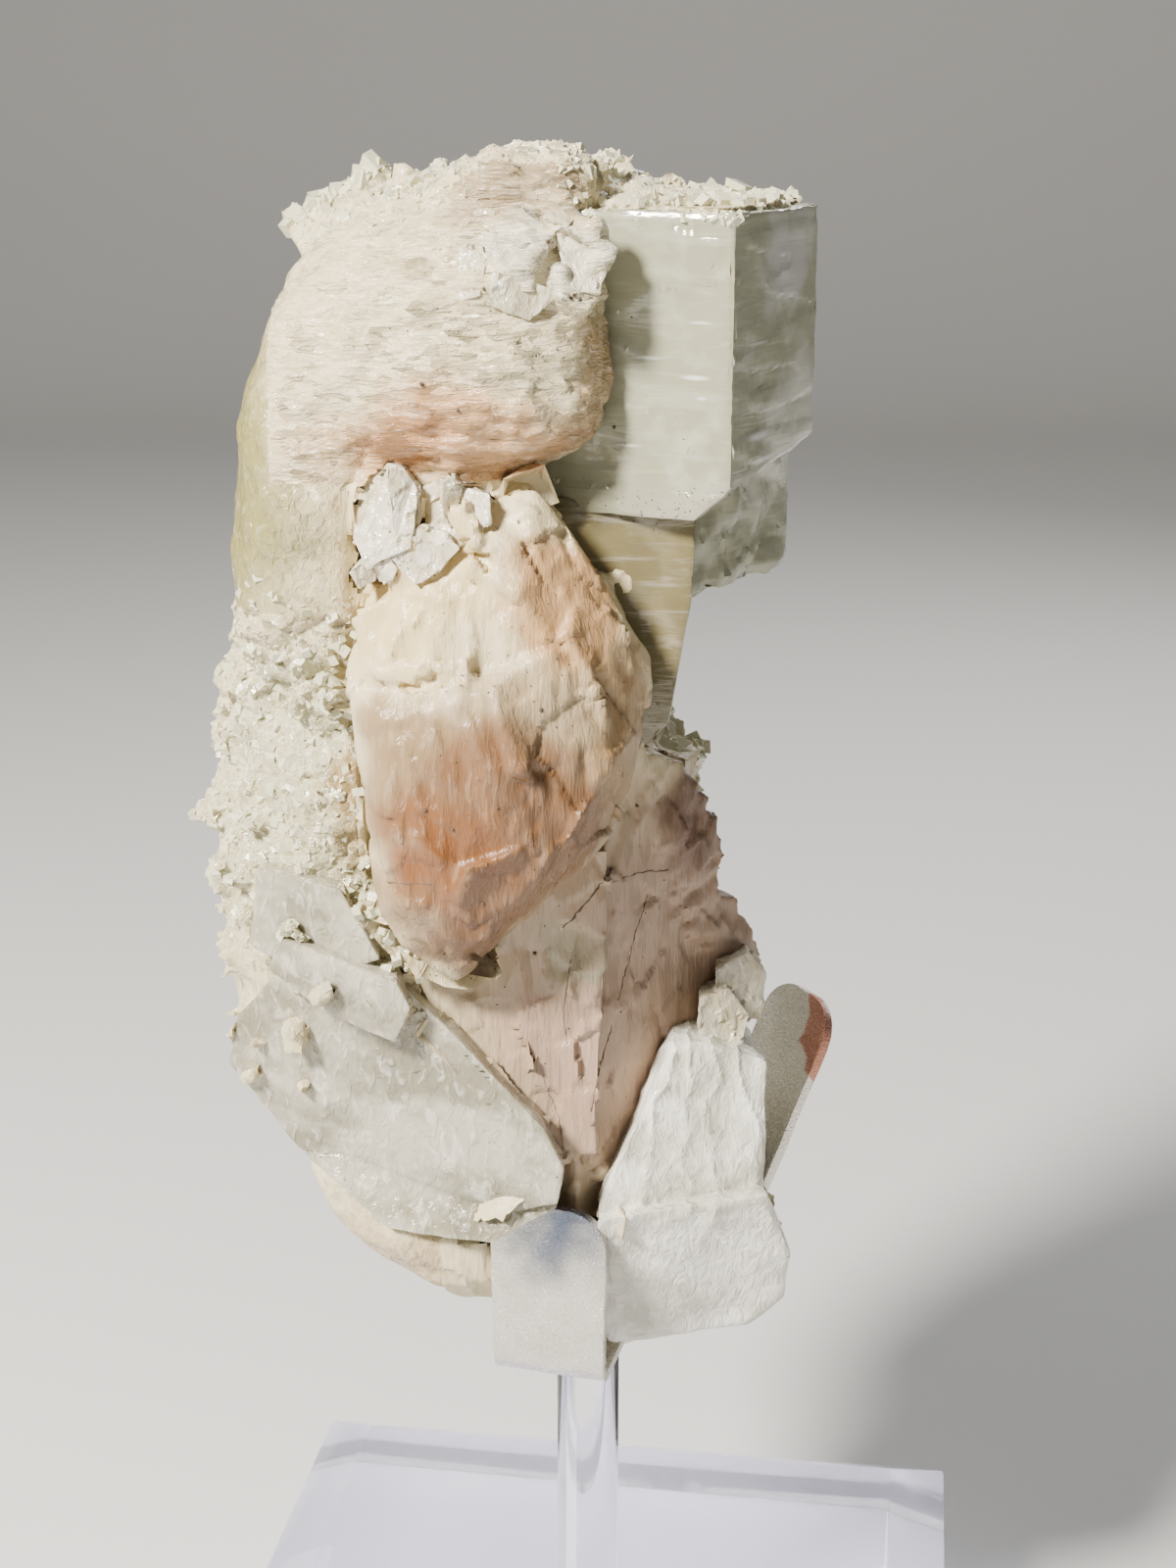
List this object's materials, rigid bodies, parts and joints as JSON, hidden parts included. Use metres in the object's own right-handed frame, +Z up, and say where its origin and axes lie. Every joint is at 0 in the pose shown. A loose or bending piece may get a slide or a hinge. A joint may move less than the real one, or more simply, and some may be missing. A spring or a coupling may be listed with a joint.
{
  "type": "calcite with stilbite specimen on stand",
  "caption": "Curved mass of blocky calcite and peach stilbite, held upright by a bent metal claw on a clear rod and a square clear base.",
  "frame": {"origin": "middle of the base's underside, which is also where the rod's axis meets it", "axes": "+Z up along the rod, -Y towards the front of the specimen, +X to the viewer's right"},
  "size_m": [0.0862, 0.0862, 0.1752],
  "materials": {
    "calcite": "translucent white to grey-green calcite with peach stilbite, glassy crystal faces and sugary druse",
    "plated_metal": "silver plate, crinkled and scuffed, worn to copper along some edges",
    "clear_acrylic": "clear and polished"
  },
  "bodies": {
    "root": {"calcite_with_stilbite": "calcite", "claw": "plated_metal", "rod": "clear_acrylic", "base": "clear_acrylic"}
  },
  "joints": []
}
